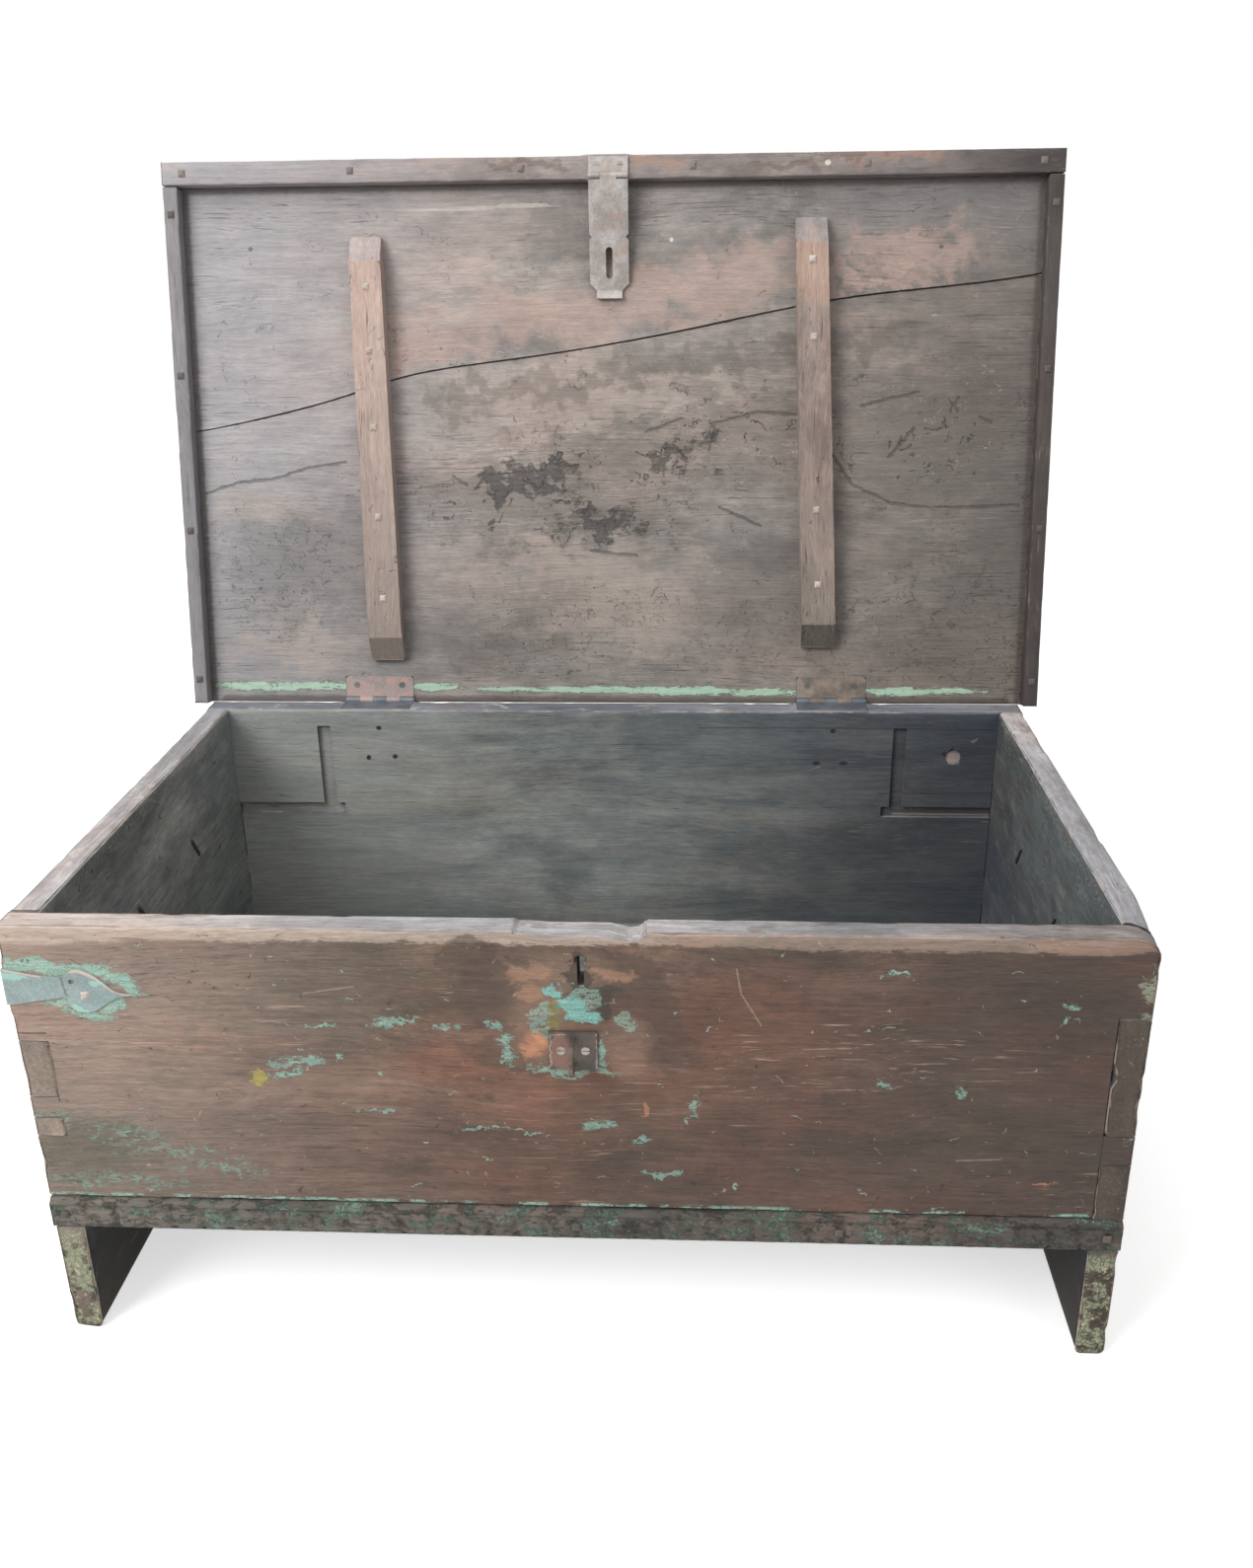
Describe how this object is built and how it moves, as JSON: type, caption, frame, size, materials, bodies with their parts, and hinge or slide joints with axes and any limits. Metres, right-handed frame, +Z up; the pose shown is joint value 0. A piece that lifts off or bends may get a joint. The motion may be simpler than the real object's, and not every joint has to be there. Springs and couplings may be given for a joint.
{
  "type": "plank chest",
  "caption": "Slab-ended plank chest with comb-jointed corners, carved base rail, hinged rimmed lid, hasp and staple, and drop handles; lid open.",
  "frame": {"origin": "on the floor, under the middle of the open chest's bounding box; the case's mid-plane is X = 0 and its own centre lies 54.0 mm ahead of the origin", "axes": "+X to the right seen from the front, +Y to the back where the hinges are, +Z up"},
  "size_m": [0.937, 0.6951, 0.9655],
  "materials": {
    "case_wood": "old hardwood boards, worn brown stain with dull grey bloom and flecks of pale green paint",
    "floor_wood": "dull unfinished boards",
    "rail_wood": "carved and worn, dark, with remains of green paint",
    "plug_wood": "pale turned plug",
    "lid_wood": "rough sawn inside, dry grey-brown",
    "rim_wood": "worn grey-brown",
    "batten_wood": "planed, lighter pinkish brown",
    "nail_iron": "dull wrought nails",
    "painted_strap": "sheet iron with old grey-green paint",
    "staple_iron": "rusted dark iron",
    "screw_steel": "dull steel",
    "hinge_iron": "pressed iron, rust-brown",
    "handle_iron": "wrought iron, dark and dull",
    "hasp_steel": "galvanised steel, stained brown"
  },
  "bodies": {
    "chest": {"front_board": "case_wood", "back_board": "case_wood", "left_end_board": "case_wood", "right_end_board": "case_wood", "floor_board_front": "floor_wood", "floor_board_middle": "floor_wood", "floor_board_rear": "floor_wood", "base_rail": "rail_wood", "rail_nails": "nail_iron", "floor_nails": "nail_iron", "knot_plug": "plug_wood", "corner_strap": "painted_strap", "strap_nails": "nail_iron", "staple": "staple_iron", "staple_screws": "screw_steel", "left_hinge_case_leaf": "hinge_iron", "right_hinge_case_leaf": "hinge_iron", "left_hinge_pin": "hinge_iron", "right_hinge_pin": "hinge_iron", "hinge_case_screws": "screw_steel", "left_handle_eyes": "handle_iron", "right_handle_eyes": "handle_iron"},
    "lid": {"lid_front_plank": "lid_wood", "lid_rear_plank": "lid_wood", "lid_front_rim": "rim_wood", "lid_left_rim": "rim_wood", "lid_right_rim": "rim_wood", "left_batten": "batten_wood", "right_batten": "batten_wood", "batten_nails": "nail_iron", "front_rim_nails": "nail_iron", "side_rim_nails": "nail_iron", "left_hinge_lid_leaf": "hinge_iron", "right_hinge_lid_leaf": "hinge_iron", "hinge_lid_screws": "screw_steel", "hasp_fixed_leaf": "hasp_steel", "hasp_screws": "screw_steel", "hasp_pin": "hasp_steel"},
    "hasp": {"hasp_leaf": "hasp_steel"},
    "left_handle": {"left_handle_bail": "handle_iron"},
    "right_handle": {"right_handle_bail": "handle_iron"}
  },
  "joints": [
    {"name": "lid_hinge", "type": "hinge", "parent": "chest", "child": "lid", "pos_m": [0, 0.21901, 0.4035], "axis": [1, 0, 0], "range_deg": [0, 101]},
    {"name": "hasp_swing", "type": "hinge", "parent": "lid", "child": "hasp", "pos_m": [0.002, 0.30352, 0.94523], "axis": [-1, 0, 0], "range_deg": [0, 152]},
    {"name": "left_handle_swing", "type": "hinge", "parent": "chest", "child": "left_handle", "pos_m": [-0.4586, -0.038, 0.303], "axis": [0, 1, 0], "range_deg": [0, 170]},
    {"name": "right_handle_swing", "type": "hinge", "parent": "chest", "child": "right_handle", "pos_m": [0.4586, -0.038, 0.303], "axis": [0, -1, 0], "range_deg": [0, 170]}
  ],
  "couplings": [
    {"joint": "hasp_swing", "follows": "lid_hinge", "ratio": 1.5}
  ]
}
